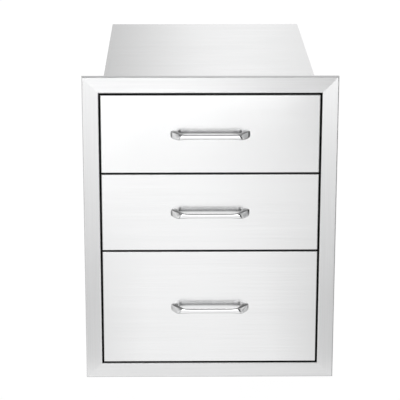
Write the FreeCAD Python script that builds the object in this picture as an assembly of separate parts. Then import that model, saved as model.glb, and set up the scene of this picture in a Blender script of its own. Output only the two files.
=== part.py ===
import FreeCAD, Part
import math
import os

Vector = FreeCAD.Vector

# Lengths are in millimetres. The origin is the centre of the cut-out in the plane of the island's face,
# with +X to the right as the user sees it, +Y into the island and +Z up.

# Face frame
FRAME_WIDTH = 457.0
FRAME_HEIGHT = 572.0
FRAME_BAND = 30.0
FRAME_EDGE_DEPTH = 7.5
FRAME_RISE = 3.5
FRAME_SHEET = 1.5
FRAME_BEND = 1.0
FRAME_LIP = 14.0
THROAT_DEPTH = 19.0

# Cabinet box
LANDING_WIDTH = 5.7
BOX_REACH = 610.0
BOX_SHEET = 1.2
BOX_BEND = 0.8
BOX_FLANGE = 12.0
BOX_RELIEF = 10.0
PANEL_LAP = 7.0
MOUNT_HOLE_RADIUS = 2.75
MOUNT_HOLE_SETBACK = 30.0
MOUNT_HOLE_SPACING = 200.0

# Drawer fronts
FRONT_GAP = 3.0
FRONT_SIDE_GAP = 3.2
SMALL_FRONT_HEIGHT = 143.0
FRONT_THICKNESS = 17.0
FRONT_SHEET = 1.0
FRONT_BEND = 1.5
LINER_FLANGE = 12.0

# Drawer trays
TRAY_LENGTH = 550.0
TRAY_SHEET = 1.0
TRAY_BEND = 1.0
TRAY_HEM = 9.0
TRAY_LIFT = 14.0
TRAY_HEADROOM = 29.0

# Ball slides
SLIDE_LENGTH = 550.0
SLIDE_HEIGHT = 45.0
SLIDE_THICKNESS = 12.7
SLIDE_SHEET = 1.2
SLIDE_LIP = 1.8
SLIDE_PLAY = 0.3
SLIDE_SETBACK = 2.5
SLIDE_LIFT = 40.0
OUTER_DEPTH = 11.0
MIDDLE_DEPTH = 6.9
MIDDLE_SHORTFALL = 2.0
BALL_DIAMETER = 3.5
BALL_PLAY = 0.1
CAGE_SHEET = 0.6
CAGE_LENGTH = 240.0
CAGE_SETBACK = 168.0
OUTER_CAGE_DEPTH = 7.2
INNER_CAGE_DEPTH = 3.8
HOOK_SETBACKS = (100.0, 480.0)
HOOK_WIDTH = 10.0
HOOK_DROP = 7.0
HOOK_PLAY = 0.1
BUMPER_LENGTH = 6.0
BUMPER_HEIGHT = 16.0
BUMPER_DEPTH = 9.0

# Release levers
LEVER_SETBACK = 288.0
LEVER_ARM = 45.0
LEVER_TAIL = 12.0
LEVER_THICKNESS = 3.2
LEVER_HUB_WIDTH = 9.0
LEVER_PAD_WIDTH = 8.0
LEVER_PAD_LENGTH = 14.0
LEVER_NECK_WIDTH = 4.0
LEVER_PIN_RADIUS = 2.0
LEVER_PIN_PLAY = 0.06

# Handles
HANDLE_HOLE_SPACING = 128.0
HANDLE_PROJECTION = 27.0
HANDLE_BAR_LENGTH = 115.0
HANDLE_BAR_DEPTH = 8.0
HANDLE_BAR_HEIGHT = 7.5
HANDLE_FOOT_WIDTH = 11.0
HANDLE_FOOT_HEIGHT = 11.5
HANDLE_FOOT_RISE = 8.0
HANDLE_FOOT_TAPER = 1.2
HANDLE_FLARE = 18.0
HANDLE_FLARE_BEND = 36.0
HANDLE_BEND = 16.0
HANDLE_EDGE = 1.2

# Fasteners
HANDLE_SCREW_RADIUS = 1.75
HANDLE_SCREW_BITE = 7.0
HANDLE_THREAD_DEPTH = 8.0
HANDLE_SCREW_HEAD_RADIUS = 3.6
HANDLE_SCREW_HEAD_HEIGHT = 2.4
SCREW_PLAY = 0.15
SCREW_FIT = 0.05

# How far a cutter reaches past what it cuts, and the smallest length that counts
CUT_MARGIN = 1.0
TOLERANCE = 1e-3

# Places worked out from the sizes above
OPENING_HALF_WIDTH = FRAME_WIDTH / 2 - FRAME_BAND
OPENING_HALF_HEIGHT = FRAME_HEIGHT / 2 - FRAME_BAND
FACE_Y = -(FRAME_EDGE_DEPTH + FRAME_RISE)
LANDING_Y = FACE_Y + THROAT_DEPTH
PANEL_FRONT_Y = LANDING_Y + FRAME_SHEET
WALL_X = OPENING_HALF_WIDTH - LANDING_WIDTH
BOX_HALF_WIDTH = WALL_X + BOX_SHEET
BOX_HALF_HEIGHT = OPENING_HALF_HEIGHT + FRAME_SHEET + BOX_SHEET
PANEL_HALF_HEIGHT = BOX_HALF_HEIGHT - BOX_SHEET
FRONT_HALF_WIDTH = OPENING_HALF_WIDTH - FRONT_SIDE_GAP
FRONT_BACK_Y = FACE_Y + FRONT_THICKNESS
TRAY_HALF_WIDTH = WALL_X - SLIDE_THICKNESS
TRAY_BACK_Y = FRONT_BACK_Y + TRAY_LENGTH
SLIDE_FRONT_Y = PANEL_FRONT_Y + SLIDE_SETBACK
DEEP_FRONT_HEIGHT = 2 * OPENING_HALF_HEIGHT - 4 * FRONT_GAP - 2 * SMALL_FRONT_HEIGHT

# Stack of the slide across its thickness, from the cabinet wall inwards, and from its centreline upwards
OUTER_CAGE_U = SLIDE_SHEET + SLIDE_PLAY
MIDDLE_U = OUTER_CAGE_U + CAGE_SHEET + SLIDE_PLAY + BALL_PLAY
INNER_CAGE_U = MIDDLE_U + SLIDE_SHEET + SLIDE_PLAY
INNER_U = INNER_CAGE_U + CAGE_SHEET + SLIDE_PLAY
BALL_SPACE = BALL_DIAMETER + 2 * BALL_PLAY
MIDDLE_HALF_HEIGHT = SLIDE_HEIGHT / 2 - SLIDE_SHEET - BALL_SPACE
INNER_HALF_HEIGHT = MIDDLE_HALF_HEIGHT - SLIDE_SHEET - BALL_SPACE
OUTER_BALL_W = MIDDLE_HALF_HEIGHT + BALL_SPACE / 2
INNER_BALL_W = INNER_HALF_HEIGHT + BALL_SPACE / 2


def drawer_plan():
    """Name, lower edge and height of each front, from the top down."""
    heights = {"top": SMALL_FRONT_HEIGHT, "middle": SMALL_FRONT_HEIGHT, "bottom": DEEP_FRONT_HEIGHT}
    lower_edge = OPENING_HALF_HEIGHT
    plan = []
    for name, height in heights.items():
        lower_edge -= FRONT_GAP + height
        plan.append((name, lower_edge, height))
    return plan


def unit(a, b):
    length = math.hypot(b[0] - a[0], b[1] - a[1])
    return (b[0] - a[0]) / length, (b[1] - a[1]) / length


def offset_line(points, distance):
    """An open line moved sideways, to the left of its direction where distance is positive."""
    moved = []
    for i, point in enumerate(points):
        ahead = unit(points[i], points[i + 1]) if i + 1 < len(points) else unit(points[i - 1], points[i])
        behind = unit(points[i - 1], points[i]) if i > 0 else ahead
        normal = (-behind[1] - ahead[1], behind[0] + ahead[0])
        scale = 2 * distance / (normal[0] ** 2 + normal[1] ** 2)
        moved.append((point[0] + normal[0] * scale, point[1] + normal[1] * scale))
    return moved


def rounded_line(points, radii, place):
    """Edges of an open line with its corners rounded; place puts a plane point in space."""
    edges = []
    start = points[0]
    for i in range(1, len(points) - 1):
        before = unit(points[i], points[i - 1])
        after = unit(points[i], points[i + 1])
        corner = math.acos(max(-1.0, min(1.0, before[0] * after[0] + before[1] * after[1])))
        radius = radii[i - 1]
        if radius <= 0 or corner > math.pi - TOLERANCE:
            edges.append(Part.LineSegment(place(*start), place(*points[i])).toShape())
            start = points[i]
            continue
        reach = radius / math.tan(corner / 2)
        bisector = unit((0, 0), (before[0] + after[0], before[1] + after[1]))
        depth = radius / math.sin(corner / 2) - radius
        first = (points[i][0] + before[0] * reach, points[i][1] + before[1] * reach)
        middle = (points[i][0] + bisector[0] * depth, points[i][1] + bisector[1] * depth)
        last = (points[i][0] + after[0] * reach, points[i][1] + after[1] * reach)
        if math.hypot(first[0] - start[0], first[1] - start[1]) > TOLERANCE:
            edges.append(Part.LineSegment(place(*start), place(*first)).toShape())
        edges.append(Part.Arc(place(*first), place(*middle), place(*last)).toShape())
        start = last
    edges.append(Part.LineSegment(place(*start), place(*points[-1])).toShape())
    return edges


def sheet_face(points, thickness, bends, place):
    """Section of bent sheet, laid to the left of the line; each corner has its inside radius, or 0 for sharp."""
    base_radii = []
    far_radii = []
    for i, bend in enumerate(bends, start=1):
        before = unit(points[i - 1], points[i])
        after = unit(points[i], points[i + 1])
        turn = before[0] * after[1] - before[1] * after[0]
        outside = bend + abs(thickness) if bend > 0 else 0
        base_radii.append(outside if turn * thickness > 0 else bend)
        far_radii.append(bend if turn * thickness > 0 else outside)
    far = offset_line(points, thickness)
    edges = rounded_line(points, base_radii, place)
    edges.append(Part.LineSegment(place(*points[-1]), place(*far[-1])).toShape())
    edges += rounded_line(far[::-1], far_radii[::-1], place)
    edges.append(Part.LineSegment(place(*far[0]), place(*points[0])).toShape())
    return Part.Face(Part.Wire(Part.__sortEdges__(edges)))


def closed_face(points, radii, place):
    """Face inside a closed outline whose first corner is sharp."""
    edges = rounded_line(list(points) + [points[0]], radii, place)
    return Part.Face(Part.Wire(Part.__sortEdges__(edges)))


def box(x, y, z):
    """Block between two limits along each axis."""
    return Part.makeBox(x[1] - x[0], y[1] - y[0], z[1] - z[0], Vector(x[0], y[0], z[0]))


def rod(start, end, radius):
    axis = end - start
    return Part.makeCylinder(radius, axis.Length, start, axis)


def mirrored(shape):
    """The left-hand copy of a right-hand piece."""
    return shape.mirror(Vector(0, 0, 0), Vector(1, 0, 0))


def frame_rail(half_length, edge):
    """The upper rail of a frame whose outer corner lies at (half_length, edge), mitred at both ends."""
    section = [
        (FRAME_LIP, 0),
        (0, 0),
        (0, -FRAME_EDGE_DEPTH),
        (FRAME_BAND, FACE_Y),
        (FRAME_BAND, LANDING_Y),
        (FRAME_BAND + LANDING_WIDTH, LANDING_Y),
    ]
    bends = [0, FRAME_BEND, FRAME_BEND, 0]
    face = sheet_face(section, FRAME_SHEET, bends, lambda a, y: Vector(-half_length, y, edge - a))
    rail = face.extrude(Vector(2 * half_length, 0, 0))
    inner = FRAME_BAND + 2 * LANDING_WIDTH
    corners = [
        Vector(-half_length + inner, 0, edge - inner),
        Vector(half_length - inner, 0, edge - inner),
        Vector(half_length, 0, edge),
        Vector(-half_length, 0, edge),
    ]
    mitre = Part.Face(Part.makePolygon(corners + corners[:1]))
    mitre.translate(Vector(0, FACE_Y - CUT_MARGIN, 0))
    return rail.common(mitre.extrude(Vector(0, THROAT_DEPTH + FRAME_SHEET + 2 * CUT_MARGIN, 0)))


def frame_parts():
    top = frame_rail(FRAME_WIDTH / 2, FRAME_HEIGHT / 2)
    side = frame_rail(FRAME_HEIGHT / 2, FRAME_WIDTH / 2)
    turns = {
        "frame_top_rail": (top, 0),
        "frame_bottom_rail": (top, 180),
        "frame_left_stile": (side, -90),
        "frame_right_stile": (side, 90),
    }
    return {
        name: shape.rotated(Vector(0, 0, 0), Vector(0, 1, 0), angle)
        for name, (shape, angle) in turns.items()
    }


def slide_height(lower_edge):
    """Height of a drawer's slides, from the lower edge of its front."""
    return lower_edge + TRAY_LIFT + SLIDE_LIFT


def side_panel():
    """Right wall: flanged outwards behind the frame's landing, inwards at the top, bottom and back."""
    back_y = BOX_REACH - 3 * BOX_SHEET
    inner_z = PANEL_HALF_HEIGHT - BOX_SHEET
    plan = [
        (OPENING_HALF_WIDTH + FRAME_SHEET, PANEL_FRONT_Y),
        (WALL_X, PANEL_FRONT_Y),
        (WALL_X, back_y),
        (WALL_X - BOX_FLANGE, back_y),
    ]
    upright = inner_z - BOX_RELIEF
    face = sheet_face(plan, -BOX_SHEET, [0, 0], lambda x, y: Vector(x, y, -upright))
    panel = face.extrude(Vector(0, 0, 2 * upright))
    across = [
        (WALL_X - BOX_FLANGE, inner_z),
        (WALL_X, inner_z),
        (WALL_X, -inner_z),
        (WALL_X - BOX_FLANGE, -inner_z),
    ]
    front_y = PANEL_FRONT_Y + BOX_RELIEF
    face = sheet_face(across, BOX_SHEET, [0, 0], lambda x, z: Vector(x, front_y, z))
    panel = panel.fuse(face.extrude(Vector(0, back_y - BOX_RELIEF - front_y, 0)))
    wall_y = (PANEL_FRONT_Y, back_y + BOX_SHEET)
    wall = box((WALL_X, BOX_HALF_WIDTH), wall_y, (-PANEL_HALF_HEIGHT, PANEL_HALF_HEIGHT))
    panel = panel.fuse(wall).removeSplitter()
    for side in (-1, 1):
        start = Vector(WALL_X - CUT_MARGIN, MOUNT_HOLE_SETBACK, side * MOUNT_HOLE_SPACING / 2)
        end = Vector(BOX_HALF_WIDTH + CUT_MARGIN, start.y, start.z)
        panel = panel.cut(rod(start, end, MOUNT_HOLE_RADIUS))
    for _, lower_edge, _ in drawer_plan():
        for setback in HOOK_SETBACKS:
            panel = panel.cut(hook_slot(SLIDE_FRONT_Y + setback, slide_height(lower_edge)))
    return panel


def hook_slot(y, z):
    """Slot that takes a hook in from above and lets it drop by its own length."""
    x = (WALL_X - CUT_MARGIN, BOX_HALF_WIDTH + CUT_MARGIN)
    half = HOOK_WIDTH / 2 + SLIDE_PLAY
    return box(x, (y - half, y + half), (z - SLIDE_SHEET, z + HOOK_DROP))


def slide_hook(y, z):
    """Hook that leaves the outer member's web, passes the wall and hangs down behind it."""
    back = BOX_HALF_WIDTH + HOOK_PLAY
    y_limits = (y - HOOK_WIDTH / 2, y + HOOK_WIDTH / 2)
    neck = box((WALL_X, back + SLIDE_SHEET), y_limits, (z - SLIDE_SHEET, z))
    return neck.fuse(box((back, back + SLIDE_SHEET), y_limits, (z - HOOK_DROP, z))).removeSplitter()


def cover_panel():
    """Top of the box: laps over the frame's inner return and folds down behind the back panel."""
    line = [
        (LANDING_Y - PANEL_LAP, BOX_HALF_HEIGHT),
        (BOX_REACH, BOX_HALF_HEIGHT),
        (BOX_REACH, BOX_HALF_HEIGHT - BOX_FLANGE),
    ]
    face = sheet_face(line, -BOX_SHEET, [BOX_BEND], lambda y, z: Vector(-BOX_HALF_WIDTH, y, z))
    return face.extrude(Vector(2 * BOX_HALF_WIDTH, 0, 0))


def back_panel():
    high = PANEL_HALF_HEIGHT - BOX_BEND
    depth = (BOX_REACH - 2 * BOX_SHEET, BOX_REACH - BOX_SHEET)
    return box((-BOX_HALF_WIDTH, BOX_HALF_WIDTH), depth, (-high, high))


def cabinet_parts():
    right = side_panel()
    top = cover_panel()
    return {
        "left_panel": mirrored(right),
        "right_panel": right,
        "top_panel": top,
        "bottom_panel": top.mirror(Vector(0, 0, 0), Vector(0, 0, 1)),
        "back_panel": back_panel(),
    }


def slide_channel(line, thickness, front, length, z):
    """A length of slide section on the right wall: u runs from the wall to the tray, w up from the centre."""
    sharp = [0] * (len(line) - 2)
    face = sheet_face(line, thickness, sharp, lambda u, w: Vector(WALL_X - u, front, z + w))
    return face.extrude(Vector(0, length, 0))


def lipped_channel(near, far, half_height, front, length, z):
    """Channel open to the tray, whose two flanges end in lips turned towards each other."""
    lip = SLIDE_SHEET + SLIDE_LIP
    line = [
        (far, half_height - lip),
        (far, half_height),
        (near, half_height),
        (near, -half_height),
        (far, -half_height),
        (far, -half_height + lip),
    ]
    return slide_channel(line, SLIDE_SHEET, front, length, z)


def plain_line(near, far, half_height):
    return [(far, half_height), (near, half_height), (near, -half_height), (far, -half_height)]


def outer_member(z):
    """Channel that hangs on the wall by its hooks."""
    length = SLIDE_LENGTH + BUMPER_LENGTH + 2 * SLIDE_PLAY
    member = lipped_channel(0, OUTER_DEPTH, SLIDE_HEIGHT / 2, SLIDE_FRONT_Y, length, z)
    for setback in HOOK_SETBACKS:
        member = member.fuse(slide_hook(SLIDE_FRONT_Y + setback, z))
    return member.removeSplitter()


def middle_member(z):
    front = SLIDE_FRONT_Y + MIDDLE_SHORTFALL
    length = SLIDE_LENGTH - 2 * MIDDLE_SHORTFALL
    return lipped_channel(MIDDLE_U, MIDDLE_U + MIDDLE_DEPTH, MIDDLE_HALF_HEIGHT, front, length, z)


def inner_member(z):
    """Channel welded to the tray's side, with the lever's pivot pin standing out of its web."""
    line = plain_line(SLIDE_THICKNESS, INNER_U, INNER_HALF_HEIGHT)
    member = slide_channel(line, -SLIDE_SHEET, SLIDE_FRONT_Y, SLIDE_LENGTH, z)
    web_x = WALL_X - SLIDE_THICKNESS
    y = SLIDE_FRONT_Y + LEVER_SETBACK
    pin_end = web_x + SLIDE_SHEET + LEVER_THICKNESS + 2 * SLIDE_PLAY
    return member.fuse(rod(Vector(web_x + SLIDE_SHEET / 2, y, z), Vector(pin_end, y, z), LEVER_PIN_RADIUS))


def cage(near, depth, ball_w, z):
    """Channel strip that spaces the balls of one stage, its flanges on the balls' centres."""
    line = plain_line(near, near + depth, ball_w + CAGE_SHEET / 2)
    return slide_channel(line, CAGE_SHEET, SLIDE_FRONT_Y + CAGE_SETBACK, CAGE_LENGTH, z)


def release_lever(z):
    """Flat lever on the inner member's pin, with a slim neck to a finger pad in front and a short tail."""
    x = WALL_X - SLIDE_THICKNESS + SLIDE_SHEET + SLIDE_PLAY
    y = SLIDE_FRONT_Y + LEVER_SETBACK
    hub = LEVER_HUB_WIDTH / 2
    pad = LEVER_PAD_WIDTH / 2
    neck = LEVER_NECK_WIDTH / 2
    profile = [
        (LEVER_TAIL, neck),
        (hub, hub),
        (-hub, hub),
        (-2 * hub, neck),
        (-LEVER_ARM + LEVER_PAD_LENGTH, neck),
        (-LEVER_ARM + LEVER_PAD_LENGTH - pad, pad),
        (-LEVER_ARM + pad / 2, pad),
        (-LEVER_ARM, pad / 2),
    ]
    outline = profile + [(a, -b) for a, b in reversed(profile)]
    flat = closed_face(outline, [0] * (len(outline) - 1), lambda a, b: Vector(x, y + a, z + b))
    start = Vector(x - CUT_MARGIN, y, z)
    end = Vector(x + LEVER_THICKNESS + CUT_MARGIN, y, z)
    bore = rod(start, end, LEVER_PIN_RADIUS + LEVER_PIN_PLAY)
    return flat.extrude(Vector(LEVER_THICKNESS, 0, 0)).cut(bore)


def slide_bumper(z):
    """Rubber block in the outer member, behind the inner member's end."""
    front = SLIDE_FRONT_Y + SLIDE_LENGTH + SLIDE_PLAY
    x = WALL_X - SLIDE_SHEET
    half = BUMPER_HEIGHT / 2
    return box((x - BUMPER_DEPTH, x), (front, front + BUMPER_LENGTH), (z - half, z + half))


def front_skin(lower_edge, height):
    """Brushed pan whose face is flush with the frame's inner edge."""
    x = (-FRONT_HALF_WIDTH, FRONT_HALF_WIDTH)
    z = (lower_edge, lower_edge + height)
    pan = box(x, (FACE_Y, FRONT_BACK_Y), z)
    rim = [edge for edge in pan.Edges if abs(edge.BoundBox.YMax - FACE_Y) < TOLERANCE]
    pan = pan.makeFillet(FRONT_BEND, rim)
    hollow = box(
        (x[0] + FRONT_SHEET, x[1] - FRONT_SHEET),
        (FACE_Y + FRONT_SHEET, FRONT_BACK_Y + CUT_MARGIN),
        (z[0] + FRONT_SHEET, z[1] - FRONT_SHEET),
    )
    return pan.cut(hollow)


def front_liner(lower_edge, height):
    """Pan that closes the back of the front, its flanges inside the skin's folds."""
    half = FRONT_HALF_WIDTH - FRONT_SHEET
    low = lower_edge + FRONT_SHEET
    high = lower_edge + height - FRONT_SHEET
    pan = box((-half, half), (FRONT_BACK_Y - LINER_FLANGE, FRONT_BACK_Y), (low, high))
    hollow = box(
        (-half + FRONT_SHEET, half - FRONT_SHEET),
        (FRONT_BACK_Y - LINER_FLANGE - CUT_MARGIN, FRONT_BACK_Y - FRONT_SHEET),
        (low + FRONT_SHEET, high - FRONT_SHEET),
    )
    return pan.cut(hollow)


def tray(bottom, height):
    """Open tray folded from one sheet, its upper edges hemmed inwards to double thickness."""
    top = bottom + height
    half = TRAY_HALF_WIDTH
    across = [(-half, top), (-half, bottom), (half, bottom), (half, top)]
    bends = [TRAY_BEND, TRAY_BEND]
    face = sheet_face(across, TRAY_SHEET, bends, lambda x, z: Vector(x, FRONT_BACK_Y, z))
    shell = face.extrude(Vector(0, TRAY_LENGTH, 0))
    along = [(FRONT_BACK_Y, top), (FRONT_BACK_Y, bottom), (TRAY_BACK_Y, bottom), (TRAY_BACK_Y, top)]
    inside = half - TRAY_SHEET
    face = sheet_face(along, TRAY_SHEET, [0, 0], lambda y, z: Vector(-inside, y, z))
    ends = face.extrude(Vector(2 * inside, 0, 0))
    hem_z = (top - TRAY_HEM, top)
    clear = half - 2 * TRAY_SHEET
    clear_y = (FRONT_BACK_Y + 2 * TRAY_SHEET, TRAY_BACK_Y - 2 * TRAY_SHEET)
    hem = box((-half, half), (FRONT_BACK_Y, TRAY_BACK_Y), hem_z).cut(box((-clear, clear), clear_y, hem_z))
    return shell.fuse([ends, hem]).removeSplitter()


def handle(z):
    """Bow handle with slanted legs and flared feet: a plan outline cut by a side outline, its edges eased."""
    foot = HANDLE_HOLE_SPACING / 2 + HANDLE_FOOT_WIDTH / 2
    foot_in = foot - HANDLE_FOOT_WIDTH
    corner = HANDLE_BAR_LENGTH / 2
    depth_in = HANDLE_PROJECTION - HANDLE_BAR_DEPTH
    slant = math.atan2(foot - HANDLE_FOOT_TAPER - corner, HANDLE_PROJECTION - HANDLE_FOOT_RISE)
    corner_in = corner - HANDLE_BAR_DEPTH / math.tan((math.pi / 2 + slant) / 2)
    outline = [
        (0, HANDLE_PROJECTION),
        (corner, HANDLE_PROJECTION),
        (foot - HANDLE_FOOT_TAPER, HANDLE_FOOT_RISE),
        (foot, 0),
        (foot_in, 0),
        (foot_in - HANDLE_FOOT_TAPER, HANDLE_FOOT_RISE),
        (corner_in, depth_in),
    ]
    radii = [HANDLE_BEND, 0, 0, 0, 0, HANDLE_BEND / 2]
    outline += [(-x, d) for x, d in reversed(outline[1:])]
    radii += radii[::-1]
    slim = HANDLE_BAR_HEIGHT / 2
    wide = HANDLE_FOOT_HEIGHT / 2
    high = wide + CUT_MARGIN
    plan = closed_face(outline, radii, lambda x, d: Vector(x, FACE_Y - d, z - high))
    solid = plan.extrude(Vector(0, 0, 2 * high))
    flare = foot_in - HANDLE_FLARE
    end = foot + CUT_MARGIN
    corners = [(flare, slim), (end, wide), (end, -wide), (flare, -slim)]
    side = [(0, slim)] + corners + [(-x, w) for x, w in reversed(corners)]
    radii = [HANDLE_FLARE_BEND, 0, 0, HANDLE_FLARE_BEND] * 2
    profile = closed_face(side, radii, lambda x, w: Vector(x, FACE_Y + CUT_MARGIN, z + w))
    solid = solid.common(profile.extrude(Vector(0, -HANDLE_PROJECTION - 2 * CUT_MARGIN, 0)))
    edges = [edge for edge in solid.Edges if edge.BoundBox.YMin < FACE_Y - TOLERANCE]
    solid = solid.makeChamfer(HANDLE_EDGE, edges)
    for side in (-1, 1):
        x = side * HANDLE_HOLE_SPACING / 2
        start = Vector(x, FACE_Y, z)
        end = Vector(x, FACE_Y - HANDLE_THREAD_DEPTH, z)
        solid = solid.cut(rod(start, end, HANDLE_SCREW_RADIUS + SCREW_FIT))
    return solid


def handle_screws(z):
    """Pan-head screws from inside the tray, through the tray, liner and skin, into the handle's feet."""
    seat_y = FRONT_BACK_Y + TRAY_SHEET
    tip_y = FACE_Y - HANDLE_SCREW_BITE
    head_y = seat_y + HANDLE_SCREW_HEAD_HEIGHT
    screws = []
    for side in (-1, 1):
        x = side * HANDLE_HOLE_SPACING / 2
        shank = rod(Vector(x, seat_y, z), Vector(x, tip_y, z), HANDLE_SCREW_RADIUS)
        head = rod(Vector(x, seat_y, z), Vector(x, head_y, z), HANDLE_SCREW_HEAD_RADIUS)
        screws.append(head.fuse(shank).removeSplitter())
    return screws


def drilled_for_handle(shape, z):
    """Clearance holes for the two handle screws, through one sheet of the drawer's front."""
    for side in (-1, 1):
        x = side * HANDLE_HOLE_SPACING / 2
        start = Vector(x, FACE_Y - CUT_MARGIN, z)
        end = Vector(x, FRONT_BACK_Y + TRAY_SHEET + CUT_MARGIN, z)
        shape = shape.cut(rod(start, end, HANDLE_SCREW_RADIUS + SCREW_PLAY))
    return shape


def drawer_parts(name, lower_edge, height):
    handle_z = lower_edge + height / 2
    tray_height = height - TRAY_LIFT - TRAY_HEADROOM
    slide_z = slide_height(lower_edge)
    inner = inner_member(slide_z)
    middle = middle_member(slide_z)
    lever = release_lever(slide_z)
    cages = {
        "outer": cage(OUTER_CAGE_U, OUTER_CAGE_DEPTH, OUTER_BALL_W, slide_z),
        "inner": cage(INNER_CAGE_U, INNER_CAGE_DEPTH, INNER_BALL_W, slide_z),
    }
    parts = {
        "front": drilled_for_handle(front_skin(lower_edge, height), handle_z),
        "front_liner": drilled_for_handle(front_liner(lower_edge, height), handle_z),
        "tray": drilled_for_handle(tray(lower_edge + TRAY_LIFT, tray_height), handle_z),
        "handle": handle(handle_z),
        "handle_screws": Part.makeCompound(handle_screws(handle_z)),
        "right_inner_member": inner,
        "left_inner_member": mirrored(inner),
        "right_middle_member": middle,
        "left_middle_member": mirrored(middle),
        "right_release_lever": lever,
        "left_release_lever": mirrored(lever),
    }
    for stage, one in cages.items():
        parts[stage + "_ball_cages"] = Part.makeCompound([one, mirrored(one)])
    return {name + "_" + key: shape for key, shape in parts.items()}


def build_nodes():
    nodes = frame_parts()
    nodes.update(cabinet_parts())
    bumpers = []
    for name, lower_edge, height in drawer_plan():
        slide_z = slide_height(lower_edge)
        member = outer_member(slide_z)
        nodes[name + "_right_outer_member"] = member
        nodes[name + "_left_outer_member"] = mirrored(member)
        bumpers.append(slide_bumper(slide_z))
        nodes.update(drawer_parts(name, lower_edge, height))
    nodes["slide_bumpers"] = Part.makeCompound(bumpers + [mirrored(one) for one in bumpers])
    return nodes


os.makedirs("parts", exist_ok=True)
for node, shape in build_nodes().items():
    shape.exportStep("parts/" + node + ".step")
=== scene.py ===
import math

import bmesh
import bpy
from mathutils import Matrix, Quaternion, Vector


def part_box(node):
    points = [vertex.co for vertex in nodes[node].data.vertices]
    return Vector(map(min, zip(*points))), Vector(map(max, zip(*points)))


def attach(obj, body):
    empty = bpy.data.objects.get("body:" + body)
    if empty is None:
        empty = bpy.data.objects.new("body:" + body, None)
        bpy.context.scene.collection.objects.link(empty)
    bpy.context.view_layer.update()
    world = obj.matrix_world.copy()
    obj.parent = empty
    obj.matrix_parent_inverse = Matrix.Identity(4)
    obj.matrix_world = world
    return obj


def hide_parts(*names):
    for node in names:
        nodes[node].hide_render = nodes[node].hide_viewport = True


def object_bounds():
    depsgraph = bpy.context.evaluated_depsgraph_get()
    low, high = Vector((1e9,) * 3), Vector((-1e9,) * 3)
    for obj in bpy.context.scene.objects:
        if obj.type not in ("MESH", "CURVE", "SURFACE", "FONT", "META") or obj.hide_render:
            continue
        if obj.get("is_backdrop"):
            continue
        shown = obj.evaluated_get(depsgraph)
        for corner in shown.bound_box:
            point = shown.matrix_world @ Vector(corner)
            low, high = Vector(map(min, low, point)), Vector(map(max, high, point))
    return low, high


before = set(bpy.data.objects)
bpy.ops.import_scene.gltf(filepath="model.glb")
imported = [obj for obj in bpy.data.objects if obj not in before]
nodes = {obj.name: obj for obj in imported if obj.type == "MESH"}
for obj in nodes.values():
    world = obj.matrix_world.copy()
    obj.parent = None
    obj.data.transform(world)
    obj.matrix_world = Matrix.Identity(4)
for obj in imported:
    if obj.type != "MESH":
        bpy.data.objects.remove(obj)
cad_low, cad_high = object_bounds()
scene = bpy.context.scene
DRAWERS = ("top", "middle", "bottom")
SIDES = ("left", "right")
MEMBERS = ("outer", "middle", "inner")
BOTH_WAYS = (-1, 1)
# Millimetres in a metre
MILLIMETRES = 1000

# Colour management
scene.view_settings.view_transform = "Standard"


def aim(thing, at, ahead, roll=0.0):
    """Puts a camera or a lamp at a place and turns it to face ahead."""
    thing.rotation_mode = "QUATERNION"
    thing.rotation_quaternion = ahead.to_track_quat("-Z", "Y") @ Quaternion((0, 0, 1), roll)
    thing.location = at


# Camera, fitted to the photograph's edges at 400 x 400
FOCAL_PIXELS = 1779.03
IMAGE_PIXELS = 400
SENSOR = 36.0
CAMERA_AT = (-0.05962, -3.08074, 0.98597)
PITCH, YAW, ROLL = 0.293218, 0.013463, 0.001207

camera_data = bpy.data.cameras.new("camera")
camera_data.sensor_width = SENSOR
camera_data.lens = FOCAL_PIXELS / IMAGE_PIXELS * SENSOR
camera = bpy.data.objects.new("camera", camera_data)
scene.collection.objects.link(camera)
ahead = Vector((math.sin(YAW) * math.cos(PITCH), math.cos(YAW) * math.cos(PITCH), -math.sin(PITCH)))
aim(camera, CAMERA_AT, ahead, ROLL)
scene.camera = camera


# Node helpers
def new_material(name):
    material = bpy.data.materials.new(name)
    material.use_nodes = True
    tree = material.node_tree
    shader = next(n for n in tree.nodes if n.type == "BSDF_PRINCIPLED")
    return material, tree, shader


def add(tree, kind, **values):
    node = tree.nodes.new(kind)
    for key, value in values.items():
        setattr(node, key, value)
    return node


def coordinates(tree, kind):
    """The X, Y and Z outputs of a kind of coordinate."""
    position = add(tree, "ShaderNodeTexCoord")
    parts = add(tree, "ShaderNodeSeparateXYZ")
    tree.links.new(position.outputs[kind], parts.inputs["Vector"])
    return parts.outputs


def noise(tree, scale, detail=4.0, roughness=0.6):
    """Noise in the piece's own space, in cycles per metre along each axis."""
    position = add(tree, "ShaderNodeTexCoord")
    stretch = add(tree, "ShaderNodeMapping")
    stretch.inputs["Scale"].default_value = scale
    texture = add(tree, "ShaderNodeTexNoise")
    texture.inputs["Scale"].default_value = 1.0
    texture.inputs["Detail"].default_value = detail
    texture.inputs["Roughness"].default_value = roughness
    tree.links.new(position.outputs["Object"], stretch.inputs["Vector"])
    tree.links.new(stretch.outputs["Vector"], texture.inputs["Vector"])
    return texture.outputs["Fac"]


def spread(tree, value, first, last, start=0.25, end=0.75):
    """Goes from first to last as the value goes from start to end, and stays there beyond them.

    The start and end that are given here suit noise.
    """
    node = add(tree, "ShaderNodeMapRange")
    node.inputs["From Min"].default_value = start
    node.inputs["From Max"].default_value = end
    node.inputs["To Min"].default_value = first
    node.inputs["To Max"].default_value = last
    tree.links.new(value, node.inputs["Value"])
    return node.outputs["Result"]


def combine(tree, a, b, operation="MULTIPLY"):
    node = add(tree, "ShaderNodeMath", operation=operation)
    for i, value in enumerate((a, b)):
        if isinstance(value, float):
            node.inputs[i].default_value = value
        else:
            tree.links.new(value, node.inputs[i])
    return node.outputs["Value"]


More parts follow.
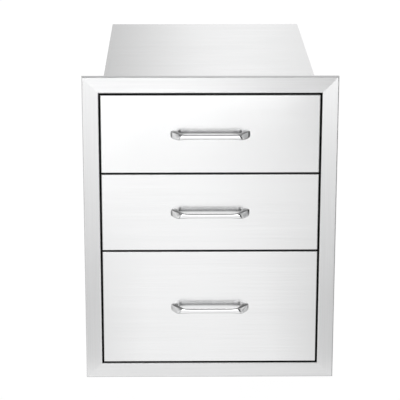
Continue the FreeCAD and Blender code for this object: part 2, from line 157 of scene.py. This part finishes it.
def magnitude(tree, value):
    """A value without its sign."""
    node = add(tree, "ShaderNodeMath", operation="ABSOLUTE")
    tree.links.new(value, node.inputs[0])
    return node.outputs["Value"]


def tinted(tree, colour, value):
    """The colour times a value that varies over the surface."""
    node = add(tree, "ShaderNodeVectorMath", operation="SCALE")
    node.inputs[0].default_value = colour
    tree.links.new(value, node.inputs["Scale"])
    return node.outputs["Vector"]


def bump(tree, shader, height, strength, distance):
    node = add(tree, "ShaderNodeBump")
    node.inputs["Strength"].default_value = strength
    node.inputs["Distance"].default_value = distance
    tree.links.new(height, node.inputs["Height"])
    tree.links.new(node.outputs["Normal"], shader.inputs["Normal"])


# Patterns of brushed sheet: cycles per metre along and across the brushing, and what they change
GRAIN_ALONG, GRAIN_ACROSS = 5.0, 900.0
BANDS_ALONG, BANDS_ACROSS = 1.2, 60.0
CLOUD_SCALE = 5.0
BAND_TONE = (0.985, 1.01)
CLOUD_ROUGHNESS = (0.96, 1.04)
GRAIN_DEPTH = 0.00004
# The roughness of a fold as a share of the face's
FOLD_ROUGHNESS = 0.5


def lengthwise(axis, along, across):
    """Scale of a pattern that runs along one axis."""
    return tuple(along if name == axis else across for name in "XYZ")


def past(tree, axis, start, end):
    """0 to 1 as a place goes from one distance to another along an axis, to either side along X and Z."""
    distance = coordinates(tree, "Object")[axis]
    if axis != "Y":
        distance = magnitude(tree, distance)
    return spread(tree, distance, 0.0, 1.0, start, end)


def brushed(name, colour, axis, roughness, anisotropy, grain=0.06, shaded_folds=(), dent=0.04):
    """Sheet metal brushed along one axis: fine streaks, broader bands and a little unevenness of the sheet.

    A shaded fold is an axis, the two distances between which the face ends and the fold begins, and how light
    the fold's painted shade is next to the face.
    """
    material, tree, shader = new_material(name)
    fine = noise(tree, lengthwise(axis, GRAIN_ALONG, GRAIN_ACROSS), detail=3.0, roughness=0.7)
    bands = noise(tree, lengthwise(axis, BANDS_ALONG, BANDS_ACROSS), detail=2.0)
    cloud = noise(tree, (CLOUD_SCALE,) * 3, detail=2.0)
    tone = combine(tree, spread(tree, fine, 1 - grain, 1 + grain / 2), spread(tree, bands, *BAND_TONE))
    texture = combine(tree, spread(tree, fine, *roughness), spread(tree, cloud, *CLOUD_ROUGHNESS))
    # Painted shade: past each fold's start the tone falls to the fold's shade, and the fold gets smoother.
    for fold_axis, start, end, fold_shade in shaded_folds:
        inside = past(tree, fold_axis, start, end)
        tone = combine(tree, tone, spread(tree, inside, 1.0, fold_shade, 0.0, 1.0))
        texture = combine(tree, texture, spread(tree, inside, 1.0, FOLD_ROUGHNESS, 0.0, 1.0))
    tree.links.new(tinted(tree, colour, tone), shader.inputs["Base Color"])
    tree.links.new(texture, shader.inputs["Roughness"])
    bump(tree, shader, fine, dent, GRAIN_DEPTH)
    shader.inputs["Metallic"].default_value = 1.0
    shader.inputs["Anisotropic"].default_value = anisotropy
    direction = add(tree, "ShaderNodeTangent", direction_type="RADIAL", axis=axis)
    tree.links.new(direction.outputs["Tangent"], shader.inputs["Tangent"])
    return material


# Patterns of unbrushed metal
BLOOM_SCALE = 18.0
BLOOM_TONE = (0.98, 1.02)
SPECK_DEPTH = 0.00005


def plain_metal(name, colour, roughness, scale, speck=0.04, dent=0.02):
    """Metal with a fine even surface."""
    material, tree, shader = new_material(name)
    fine = noise(tree, (scale,) * 3)
    bloom = noise(tree, (BLOOM_SCALE,) * 3, detail=3.0)
    tone = combine(tree, spread(tree, fine, 1 - speck, 1.0), spread(tree, bloom, *BLOOM_TONE))
    tree.links.new(tinted(tree, colour, tone), shader.inputs["Base Color"])
    tree.links.new(spread(tree, bloom, *roughness), shader.inputs["Roughness"])
    bump(tree, shader, fine, dent, SPECK_DEPTH)
    shader.inputs["Metallic"].default_value = 1.0
    return material


PEBBLE_TONE = (0.85, 1.15)
PEBBLE_STRENGTH = 0.3


def moulded(name, colour, roughness, scale, depth):
    """Moulded plastic or rubber with a fine pebbled surface."""
    material, tree, shader = new_material(name)
    pebble = noise(tree, (scale,) * 3, detail=3.0)
    tree.links.new(tinted(tree, colour, spread(tree, pebble, *PEBBLE_TONE)), shader.inputs["Base Color"])
    tree.links.new(spread(tree, pebble, *roughness), shader.inputs["Roughness"])
    bump(tree, shader, pebble, PEBBLE_STRENGTH, depth)
    return material


# Colours
# The fronts' steel is set lighter than the rails' and stiles' steel, for the brighter light on the fronts: painted
# light.
FRONT_STEEL_PAINTED_LIGHTER = (0.88, 0.882, 0.885)
RAIL_STEEL = (0.797, 0.799, 0.802)
STILE_STEEL = (0.805, 0.807, 0.81)
PANEL_STEEL = (0.785, 0.787, 0.79)
WALL_STEEL = (0.66, 0.663, 0.668)
SHEET_STEEL = (0.60, 0.603, 0.607)
ZINC = (0.60, 0.615, 0.64)
BALL_STEEL = (0.72, 0.72, 0.73)
SCREW_STEEL = (0.62, 0.62, 0.62)
UNDERSIDE_SHADE_GREY = (0.27, 0.27, 0.275)
CHROME = (0.86, 0.862, 0.867)
BLACK_PLASTIC = (0.025, 0.025, 0.027)
BLACK_RUBBER = (0.03, 0.03, 0.03)

# Painted shade in the folds, where shade falls in the gaps: the sides of the drawer fronts, and the inner sides of
# the rails and the stiles
FRONT_FOLD_SHADE = ("Y", -0.0097, -0.0090, 0.7)
RAIL_FOLD_SHADE = ("Z", 0.2569, 0.2562, 0.3)
STILE_FOLD_SHADE = ("X", 0.1994, 0.1987, 0.3)
# Painted shade: the frame's landing behind the drawer fronts, painted black for the shade seen through the gaps,
# and the box's front end, painted dark
LANDING_SHADE = ("Y", 0.0072, 0.0078, 0.04)
WALL_FOLD_SHADE = ("Y", 0.0115, 0.0105, 0.1)
# Painted shade on the outer bends of the frame, which turn away from the light; the right stile's is darker than
# the left's
RAIL_RIM_SHADE = ("Z", 0.2842, 0.2850, 0.5)
LEFT_RIM_SHADE = ("X", 0.2267, 0.2275, 0.85)
RIGHT_RIM_SHADE = ("X", 0.2265, 0.2273, 0.45)

front_steel = brushed(
    "brushed_front", FRONT_STEEL_PAINTED_LIGHTER, "X", roughness=(0.17, 0.14), anisotropy=0.75, grain=0.04,
    shaded_folds=(FRONT_FOLD_SHADE,), dent=0.02,
)
# The bottom rail's steel is the top rail's with painted shade on its outer bend.
rail_steel, low_rail_rim_shaded = (
    brushed(name, RAIL_STEEL, "X", roughness=(0.40, 0.34), anisotropy=0.75, shaded_folds=(RAIL_FOLD_SHADE, LANDING_SHADE, *rim_shades))
    for name, rim_shades in (("brushed_rail", ()), ("brushed_low_rail_rim_shaded", (RAIL_RIM_SHADE,)))
)
# The stiles' steel is one steel copied with lighter and darker painted shade on the outer bends.
left_stile_rim_shaded, right_stile_rim_shaded = (
    brushed(name, STILE_STEEL, "Z", roughness=(0.38, 0.48), anisotropy=0.65, shaded_folds=(STILE_FOLD_SHADE, LANDING_SHADE, rim_shade))
    for name, rim_shade in (("brushed_left_stile_rim_shaded", LEFT_RIM_SHADE), ("brushed_right_stile_rim_shaded", RIGHT_RIM_SHADE))
)
panel_steel = brushed(
    "brushed_panel", PANEL_STEEL, "X", roughness=(0.28, 0.22), anisotropy=0.65, shaded_folds=(WALL_FOLD_SHADE,)
)
sheet_steel = brushed("mill_sheet", SHEET_STEEL, "Y", roughness=(0.34, 0.48), anisotropy=0.3, grain=0.05)
wall_steel = brushed(
    "mill_wall", WALL_STEEL, "Y", roughness=(0.34, 0.46), anisotropy=0.3, grain=0.05, shaded_folds=(WALL_FOLD_SHADE,)
)
slide_steel = plain_metal("zinc_plate", ZINC, roughness=(0.24, 0.36), scale=700.0, speck=0.08, dent=0.04)
ball_steel = plain_metal("ball_steel", BALL_STEEL, roughness=(0.05, 0.12), scale=900.0)
screw_steel = plain_metal("screw_steel", SCREW_STEEL, roughness=(0.2, 0.32), scale=900.0)
# Dark grey metal on the handles' underside and lower back: painted shade under the bar.
underside_shade = plain_metal("painted_shade_underside", UNDERSIDE_SHADE_GREY, roughness=(0.4, 0.55), scale=400.0, speck=0.1, dent=0.1)
chrome = plain_metal("polished_chrome", CHROME, roughness=(0.03, 0.06), scale=250.0, speck=0.02, dent=0.006)
lever_plastic = moulded("black_plastic", BLACK_PLASTIC, roughness=(0.38, 0.55), scale=1500.0, depth=0.00003)
rubber = moulded("black_rubber", BLACK_RUBBER, roughness=(0.7, 0.9), scale=1200.0, depth=0.00005)

finishes = {
    "frame_top_rail": rail_steel,
    "frame_bottom_rail": low_rail_rim_shaded,
    "frame_left_stile": left_stile_rim_shaded,
    "frame_right_stile": right_stile_rim_shaded,
    "top_panel": panel_steel,
    "bottom_panel": wall_steel,
    "left_panel": wall_steel,
    "right_panel": wall_steel,
    "back_panel": wall_steel,
    "slide_bumpers": rubber,
}
for drawer in DRAWERS:
    finishes[drawer + "_front"] = front_steel
    finishes[drawer + "_front_liner"] = sheet_steel
    finishes[drawer + "_tray"] = sheet_steel
    finishes[drawer + "_handle"] = chrome
    finishes[drawer + "_handle_screws"] = screw_steel
    for stage in ("outer", "inner"):
        finishes[f"{drawer}_{stage}_ball_cages"] = slide_steel
    for side in SIDES:
        for member in MEMBERS:
            finishes[f"{drawer}_{side}_{member}_member"] = slide_steel
        finishes[f"{drawer}_{side}_release_lever"] = lever_plastic
for name, piece in nodes.items():
    piece.data.materials.clear()
    piece.data.materials.append(finishes[name])


# Mesh helpers
def new_mesh(name, vertices, faces, *materials):
    mesh = bpy.data.meshes.new(name)
    mesh.from_pydata(vertices, [], faces)
    for material in materials:
        mesh.materials.append(material)
    return mesh


def tube_faces(rings, count, base=0):
    """Faces of a closed tube whose points come ring by ring, with its two ends last."""
    faces = []
    for r in range(rings - 1):
        a = base + r * count
        b = a + count
        for i in range(count):
            j = (i + 1) % count
            faces.append((a + i, a + j, b + j, b + i))
    faces.append(tuple(base + i for i in reversed(range(count))))
    last = base + (rings - 1) * count
    faces.append(tuple(last + i for i in range(count)))
    return faces


def make_smooth(mesh):
    mesh.polygons.foreach_set("use_smooth", [True] * len(mesh.polygons))


def shade(mesh, angle):
    """Smooth shading that keeps edges sharper than an angle in degrees."""
    make_smooth(mesh)
    mesh.set_sharp_from_angle(angle=math.radians(angle))


def place(name, mesh, at, body, slot, *replaced):
    """Adds a piece that rides on a body, and hides the nodes that it stands for. The slot is not used."""
    piece = bpy.data.objects.new(name, mesh)
    scene.collection.objects.link(piece)
    piece.location = at
    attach(piece, body)
    if replaced:
        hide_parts(*replaced)


# Handles, in millimetres from the middle of each handle's base: across, out of the front, and up
HOLE_SPACING = 128.0
PROJECTION = 25.0
BAR_LENGTH = 112.0
BAR_DEPTH = 6.5
BAR_HEIGHT = 7.5
FOOT_WIDTH = 14.2
FOOT_HEIGHT = 12.8
FOOT_RISE = 8.0
FOOT_TAPER = 3.3
# How far before the foot the bar begins to grow as high as the foot
FLARE = 22.0
BEND = 11.0
BEND_INSIDE = 4.0
# How far the section leans at the end of the bar, and the length over which it comes to lean. The legs undo it.
SKEW = 2.6
SKEW_RUN = 16.0
# Radii of the edges, and how far the front bulges
EDGE = 0.8
LOW_EDGE = 2.4
CROWN = 0.45
# How far up the back the painted shade of the underside ends, as a share of the half height
SHADE_RISE = 0.1
# Steps along half the bar, round the bend and down the leg, and how far down the foot its rings are
PLAN_STEPS = (8, 12, 5)
FOOT_STEPS = (0.12, 0.6, 1.0)
CORNER_STEPS = 5
FACE_STEPS = 8
# Faces round a ring that take the dark grey painted shade, from the rounding of the lower front edge to the back's
# middle
SHADE_FROM = 2 * CORNER_STEPS + FACE_STEPS - 4
SHADE_TO = 3 * (CORNER_STEPS + 1) + FACE_STEPS - 2
HANDLE_SHARP = 40
QUARTER_TURN = math.pi / 2


def lerp(a, b, t):
    return a + (b - a) * t


def smooth(t):
    """0 to 1 with a soft start and a soft end."""
    t = max(0.0, min(1.0, t))
    return t * t * (3 - 2 * t)


def plan_line(points, radius):
    """Points of a two-run line with its corner rounded."""
    start, corner, end = (Vector(p) for p in points)
    before = (start - corner).normalized()
    after = (end - corner).normalized()
    angle = before.angle(after)
    reach = radius / math.tan(angle / 2)
    centre = corner + (before + after).normalized() * radius / math.sin(angle / 2)
    first = corner + before * reach
    last = corner + after * reach
    turn = (last - centre).angle_signed(first - centre)
    arm = first - centre
    run, bend, leg = PLAN_STEPS
    line = [start.lerp(first, i / run) for i in range(run)]
    line += [centre + Matrix.Rotation(turn * i / bend, 2) @ arm for i in range(bend)]
    line += [last.lerp(end, i / leg) for i in range(leg + 1)]
    return line


def corner_arc(start, end, point):
    """Points of a rounded corner, in equal steps between two directions in radians."""
    return [point(lerp(start, end, i / CORNER_STEPS)) for i in range(CORNER_STEPS + 1)]


def crowned_face(high, low):
    """Points between the front's edges, which bulge by the crown."""
    face = []
    for i in range(1, FACE_STEPS):
        t = i / FACE_STEPS
        bulge = 4 * CROWN * t * (1 - t)
        face.append((lerp(high[0], low[0], t) + bulge, lerp(high[1], low[1], t)))
    return face


def section(outer, inner, half_height, skew, low_edge):
    """Ring round one section of the bar, from its top front edge down the crowned front and up the back.

    The skew moves its lower edge outwards and its upper edge inwards, along the bar. The lower front edge is
    rounded by low_edge.
    """
    middle = (outer + inner) / 2
    half = (outer - inner).length / 2
    outwards = (outer - inner).normalized()
    lean = math.atan2(2 * CROWN, half_height - EDGE)
    front = half - CROWN
    high = corner_arc(
        QUARTER_TURN, lean,
        lambda a: (front - EDGE + EDGE * math.cos(a), half_height - EDGE + EDGE * math.sin(a)),
    )
    low = corner_arc(
        lean, QUARTER_TURN,
        lambda a: (front - low_edge + low_edge * math.cos(a), low_edge - half_height - low_edge * math.sin(a)),
    )
    low_back = corner_arc(
        0.0, QUARTER_TURN,
        lambda a: (EDGE - half - EDGE * math.sin(a), EDGE - half_height - EDGE * math.cos(a)),
    )
    high_back = corner_arc(
        0.0, QUARTER_TURN,
        lambda a: (EDGE - half - EDGE * math.cos(a), half_height - EDGE + EDGE * math.sin(a)),
    )
    # Where the painted shade ends on the back.
    shade_edge = (-half, SHADE_RISE * half_height)
    ring = high + crowned_face(high[-1], low[0]) + low + low_back + [shade_edge] + high_back
    points = []
    for out, up in ring:
        point = middle + outwards * out
        points.append((point.x - skew * up / half_height, point.y, up))
    return points


def handle_rings():
    """Rings of a handle from its left foot to its right one."""
    foot = HOLE_SPACING / 2 + FOOT_WIDTH / 2
    foot_top = foot - FOOT_TAPER
    foot_in = foot - FOOT_WIDTH
    corner = BAR_LENGTH / 2
    depth_in = PROJECTION - BAR_DEPTH
    slant = math.atan2(foot_top - corner, PROJECTION - FOOT_RISE)
    corner_in = corner - BAR_DEPTH / math.tan((QUARTER_TURN + slant) / 2)
    outer = plan_line([(0, PROJECTION), (corner, PROJECTION), (foot_top, FOOT_RISE)], BEND)
    inner = plan_line([(0, depth_in), (corner_in, depth_in), (foot_in, FOOT_RISE)], BEND_INSIDE)
    outer += [Vector((lerp(foot_top, foot, t), FOOT_RISE * (1 - t))) for t in FOOT_STEPS]
    inner += [Vector((foot_in, FOOT_RISE * (1 - t))) for t in FOOT_STEPS]
    flare = foot_in - FLARE
    rings = []
    for front, back in zip(outer, inner):
        x = (front.x + back.x) / 2
        half_height = lerp(BAR_HEIGHT, FOOT_HEIGHT, smooth((x - flare) / (foot - flare))) / 2
        off_middle = smooth((front.x - corner) / SKEW_RUN + 1)
        off_foot = smooth((front.y - FOOT_RISE) / (PROJECTION - FOOT_RISE))
        skew = SKEW * off_middle * off_foot
        rings.append(section(front, back, half_height, skew, lerp(EDGE, LOW_EDGE, off_foot)))
    left = [[(-x, out, up) for x, out, up in ring] for ring in reversed(rings[1:])]
    return left + rings


def handle_mesh(name):
    """Bow handle in chrome, with dark grey painted shade below and behind."""
    rings = handle_rings()
    count = len(rings[0])
    vertices = [(x / MILLIMETRES, -out / MILLIMETRES, up / MILLIMETRES) for ring in rings for x, out, up in ring]
    mesh = new_mesh(name, vertices, tube_faces(len(rings), count), chrome, underside_shade)
    sides = mesh.polygons[:len(mesh.polygons) - 2]
    # Faces under and behind the bar take the painted shade.
    for i, face in enumerate(sides):
        face.material_index = int(SHADE_FROM <= i % count <= SHADE_TO)
    shade(mesh, HANDLE_SHARP)
    return mesh


for drawer in DRAWERS:
    low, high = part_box(drawer + "_handle")
    name = drawer + "_bow_handle"
    at = (0, high.y, (low.z + high.z) / 2)
    place(name, handle_mesh(name), at, drawer + "_drawer", "polished_handle", drawer + "_handle")

# Handle screws, in metres
HEAD_RADIUS = 0.0036
HEAD_HEIGHT = 0.0024
SHANK_RADIUS = 0.00175
SOCKET_HALF_WIDTH = 0.00125
SOCKET_DEPTH = 0.0013
# The tip's radius and length as shares of the shank's radius
TIP_WIDTH = 0.6
TIP_LENGTH = 0.4
# The head from its seat to its top, as shares of its height and its radius
HEAD_CURVE = ((0.0, 1.0), (0.25, 1.0), (0.6, 0.9), (0.88, 0.7), (1.0, 0.5))
SCREW_SIDES = 24
SCREW_SHARP = 35
SIXTH_TURN = math.pi / 3


def screw_ring(x, y, radius, hexagon):
    """Points round a screw's axis, on a circle or on a hexagon with that half width."""
    ring = []
    for i in range(SCREW_SIDES):
        angle = 2 * math.pi * i / SCREW_SIDES
        reach = radius / math.cos(angle % SIXTH_TURN - SIXTH_TURN / 2) if hexagon else radius
        ring.append((x + reach * math.cos(angle), y, reach * math.sin(angle)))
    return ring


def screw_mesh(name, tip, end):
    """Two button-head screws with hexagon sockets, from the tip in the handle to the head in the tray."""
    seat = end - HEAD_HEIGHT
    profile = [
        (tip, SHANK_RADIUS * TIP_WIDTH, False),
        (tip + SHANK_RADIUS * TIP_LENGTH, SHANK_RADIUS, False),
        (seat, SHANK_RADIUS, False),
    ]
    profile += [(seat + HEAD_HEIGHT * up, HEAD_RADIUS * wide, False) for up, wide in HEAD_CURVE]
    profile += [(end, SOCKET_HALF_WIDTH, True), (end - SOCKET_DEPTH, SOCKET_HALF_WIDTH, True)]
    vertices, faces = [], []
    for side in BOTH_WAYS:
        faces += tube_faces(len(profile), SCREW_SIDES, len(vertices))
        for y, radius, hexagon in profile:
            vertices += screw_ring(side * HOLE_SPACING / 2 / MILLIMETRES, y, radius, hexagon)
    mesh = new_mesh(name, vertices, faces, screw_steel)
    mesh.update()
    shape = bmesh.new()
    shape.from_mesh(mesh)
    bmesh.ops.recalc_face_normals(shape, faces=shape.faces)
    shape.to_mesh(mesh)
    shape.free()
    shade(mesh, SCREW_SHARP)
    return mesh


for drawer in DRAWERS:
    low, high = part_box(drawer + "_handle_screws")
    name = drawer + "_socket_screws"
    at = (0, 0, (low.z + high.z) / 2)
    mesh = screw_mesh(name, low.y, high.y)
    place(name, mesh, at, drawer + "_drawer", "fastener_steel", drawer + "_handle_screws")

# Balls of the slides, in metres
BALL_RADIUS = 0.00175
BALL_PITCH = 0.02
BALL_COUNT = 12
BALL_X = 0.1864
BALL_RISE = {"outer": 0.01945, "inner": 0.01455}
BALL_SUBDIVISIONS = 2


def ball_mesh(name, first, middle, rise):
    """The balls of one stage in both slides of a drawer: a row above and a row below in each."""
    shape = bmesh.new()
    for side in BOTH_WAYS:
        for up in BOTH_WAYS:
            for i in range(BALL_COUNT):
                at = Matrix.Translation((side * BALL_X, first + i * BALL_PITCH, middle + up * rise))
                bmesh.ops.create_icosphere(shape, subdivisions=BALL_SUBDIVISIONS, radius=BALL_RADIUS, matrix=at)
    mesh = new_mesh(name, [], [], ball_steel)
    shape.to_mesh(mesh)
    shape.free()
    make_smooth(mesh)
    return mesh


for drawer in DRAWERS:
    for stage, rise in BALL_RISE.items():
        low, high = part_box(f"{drawer}_{stage}_ball_cages")
        name = f"{drawer}_{stage}_balls"
        mesh = ball_mesh(name, low.y + BALL_PITCH / 2, (low.z + high.z) / 2, rise)
        place(name, mesh, (0, 0, 0), f"{drawer}_{stage}_cages", "slide_steel")

# Soft edges: width in metres and segments
LEVER_EDGE = (0.0006, 3)
MEMBER_EDGE = (0.00025, 2)
BUMPER_EDGE = (0.001, 3)
SOFTENED_ANGLE = 40


def soften(piece, width, segments):
    """Rounds the sharp edges of a CAD node for the eye, inside its own shape."""
    bevel = piece.modifiers.new("soft_edges", "BEVEL")
    bevel.width = width
    bevel.segments = segments
    bevel.limit_method = "ANGLE"
    bevel.angle_limit = math.radians(SOFTENED_ANGLE)


for drawer in DRAWERS:
    for side in SIDES:
        soften(nodes[f"{drawer}_{side}_release_lever"], *LEVER_EDGE)
        for member in MEMBERS:
            soften(nodes[f"{drawer}_{side}_{member}_member"], *MEMBER_EDGE)
soften(nodes["slide_bumpers"], *BUMPER_EDGE)

# Floor. Its matt paint takes the shadow, and the camera and shining metal mostly see its glow instead.
FLOOR_REACH = 12.0
FLOOR_PAINT = (0.85, 0.85, 0.85, 1)
CAMERA_SHARE = 0.86
METAL_SHARE = 0.8
CAMERA_LEVEL = 1.1
# Zones of the glow that metal sees. Each goes from a first to a last value between two distances in metres:
# Y is negative in front of the unit, and the slope is the distance to the side for each metre in front.
MIDDLE_TO_NEAR = (1.14, 1.13, -1.2, -0.1)
FAR_FADE = (0.76, 1.0, -2.3, -1.4)
SIDE_LIFT = (0.1, -0.25, -1.5, -0.3)
SIDE_LIFT_WIDTH = (0.0, 1.0, 0.12, 0.28)
SIDE_LIFT_FOOT = (1.0, 0.0, -0.09, -0.05)
DARK_ZONE_START = (0.0, 1.0, 0.8, 0.9)
DARK_ZONE_END = (1.0, 0.0, 1.15, 1.25)
DARK_ZONE_DEPTH = (0.0, 0.85, 0.27, 0.36)
RIGHT_DIP = (0.36, 0.16, -2.1, -1.0)
RIGHT_DIP_START = (0.0, 1.0, 0.0, 0.33)
RIGHT_DIP_END = (1.0, 0.0, 0.35, 0.5)


def floor_glow(tree):
    """How brightly metal sees each place of the floor."""
    x, y, _ = coordinates(tree, "Object")
    sideways = magnitude(tree, x)
    slope = combine(tree, sideways, combine(tree, y, -1.0), "DIVIDE")
    level = combine(tree, spread(tree, y, *MIDDLE_TO_NEAR), spread(tree, y, *FAR_FADE))
    lift = combine(tree, spread(tree, y, *SIDE_LIFT), spread(tree, sideways, *SIDE_LIFT_WIDTH))
    lift = combine(tree, lift, spread(tree, y, *SIDE_LIFT_FOOT))
    dark = combine(tree, spread(tree, slope, *DARK_ZONE_START), spread(tree, slope, *DARK_ZONE_END))
    dark = combine(tree, dark, spread(tree, sideways, *DARK_ZONE_DEPTH))
    dip = combine(tree, spread(tree, x, *RIGHT_DIP_START), spread(tree, x, *RIGHT_DIP_END))
    dip = combine(tree, dip, spread(tree, y, *RIGHT_DIP))
    level = combine(tree, level, combine(tree, 1.0, lift, "ADD"))
    level = combine(tree, level, combine(tree, 1.0, dark, "SUBTRACT"))
    return combine(tree, level, combine(tree, 1.0, dip, "SUBTRACT"))


def floor_material():
    material = bpy.data.materials.new("floor")
    material.use_nodes = True
    tree = material.node_tree
    tree.nodes.clear()
    paint = add(tree, "ShaderNodeBsdfDiffuse")
    paint.inputs["Color"].default_value = FLOOR_PAINT
    path = add(tree, "ShaderNodeLightPath")
    to_camera = path.outputs["Is Camera Ray"]
    to_metal = combine(tree, path.outputs["Is Glossy Ray"], path.outputs["Is Transmission Ray"], "MAXIMUM")
    glow = add(tree, "ShaderNodeEmission")
    level = combine(tree, floor_glow(tree), combine(tree, to_camera, CAMERA_LEVEL), "MAXIMUM")
    tree.links.new(level, glow.inputs["Strength"])
    share = combine(tree, combine(tree, to_camera, CAMERA_SHARE), combine(tree, to_metal, METAL_SHARE), "MAXIMUM")
    mix = add(tree, "ShaderNodeMixShader")
    tree.links.new(share, mix.inputs["Fac"])
    tree.links.new(paint.outputs["BSDF"], mix.inputs[1])
    tree.links.new(glow.outputs["Emission"], mix.inputs[2])
    output = add(tree, "ShaderNodeOutputMaterial")
    tree.links.new(mix.outputs["Shader"], output.inputs["Surface"])
    return material


floor_corners = [(x * FLOOR_REACH, y * FLOOR_REACH, 0) for x, y in ((-1, -1), (1, -1), (1, 1), (-1, 1))]
floor = bpy.data.objects.new("floor", new_mesh("floor", floor_corners, [(0, 1, 2, 3)], floor_material()))
floor.location = (0, 0, cad_low.z)
scene.collection.objects.link(floor)
floor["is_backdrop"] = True

# World. Each zone goes from a first to a last level between two values of a direction's X, to the right, its Y, to
# the back, or its Z, up.
BACK_LEFT_TO_MIDDLE = (0.67, 1.25, -0.045, 0.012)
BACK_RIGHT_FADE = (0.0, 0.24, 0.045, 0.08)
BACK_LOW_TO_HIGH = (0.93, 1.0, 0.18, 0.28)
FRONT_LOW_TO_MIDDLE = (0.85, 0.45, 0.05, 0.3)
FRONT_HIGH_FADE = (0.0, 0.43, 0.33, 0.42)
CEILING = (0.0, 0.7, 0.55, 0.8)
FRONT_TO_BACK = (0.0, 1.0, -0.2, 0.5)
OVERHEAD = (1.0, 0.8, 0.4, 0.9)


def world_level(tree):
    """How bright the room is in each direction."""
    x, y, z = coordinates(tree, "Generated")
    back = combine(tree, spread(tree, x, *BACK_LEFT_TO_MIDDLE), spread(tree, x, *BACK_RIGHT_FADE), "SUBTRACT")
    back = combine(tree, back, spread(tree, z, *BACK_LOW_TO_HIGH))
    front = combine(tree, spread(tree, z, *FRONT_LOW_TO_MIDDLE), spread(tree, z, *FRONT_HIGH_FADE), "SUBTRACT")
    front = combine(tree, front, spread(tree, z, *CEILING), "ADD")
    behind = spread(tree, y, *FRONT_TO_BACK)
    ahead = combine(tree, 1.0, behind, "SUBTRACT")
    level = combine(tree, combine(tree, back, behind), combine(tree, front, ahead), "ADD")
    return combine(tree, level, spread(tree, z, *OVERHEAD))


world = bpy.data.worlds.new("studio")
scene.world = world
world.use_nodes = True
background = next(n for n in world.node_tree.nodes if n.type == "BACKGROUND")
background.inputs["Color"].default_value = (1, 1, 1, 1)
world.node_tree.links.new(world_level(world.node_tree), background.inputs["Strength"])

# Lamps: where each stands, the place that it faces, its width and height, and its watts
LAMPS = {
    "left": ((-0.9, -2.6, 0.1), (0, 0, 0), (0.8, 0.5), 3.2),
    "middle": ((-0.075, -2.6, 0.1), (0, 0, 0), (0.85, 0.5), 3.8),
    "right": ((1.55, -2.6, 0.06), (0.2, 0, 0), (1.3, 0.5), 12.0),
    "high": ((-0.8, -2.6, 0.75), (0, 0, 0), (1.2, 0.9), 1.5),
}


def softbox(name, at, towards, size, watts):
    data = bpy.data.lights.new(name, "AREA")
    data.shape = "RECTANGLE"
    data.size, data.size_y = size
    data.energy = watts
    lamp = bpy.data.objects.new(name, data)
    aim(lamp, at, Vector(towards) - Vector(at))
    lamp.visible_camera = False
    scene.collection.objects.link(lamp)


for name, values in LAMPS.items():
    softbox(name, *values)

# Upright cards: the place of one side and of the other, the height of the foot and of the top, and the grey
CARDS = {
    "right_card": ((0.82, -0.5), (0.75, -0.1), -0.28, 0.45, 0.9),
    "dark_card": ((0.93, -1.8), (0.82, -0.5), -0.28, 0.45, 0.03),
    "front_card": ((0.36, -2.55), (0.8, -2.55), 0.0, 1.0, 0.45),
}


def card(name, one, other, foot, top, grey):
    """Grey card beside the set, which only shining metal shows."""
    material, _, shader = new_material(name)
    shader.inputs["Base Color"].default_value = (grey, grey, grey, 1)
    shader.inputs["Roughness"].default_value = 1.0
    corners = [(*one, foot), (*other, foot), (*other, top), (*one, top)]
    piece = bpy.data.objects.new(name, new_mesh(name, corners, [(0, 1, 2, 3)], material))
    scene.collection.objects.link(piece)
    piece.visible_camera = False
    piece.visible_diffuse = False
    piece.visible_shadow = False
    piece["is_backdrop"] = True


for name, values in CARDS.items():
    card(name, *values)

low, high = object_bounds()
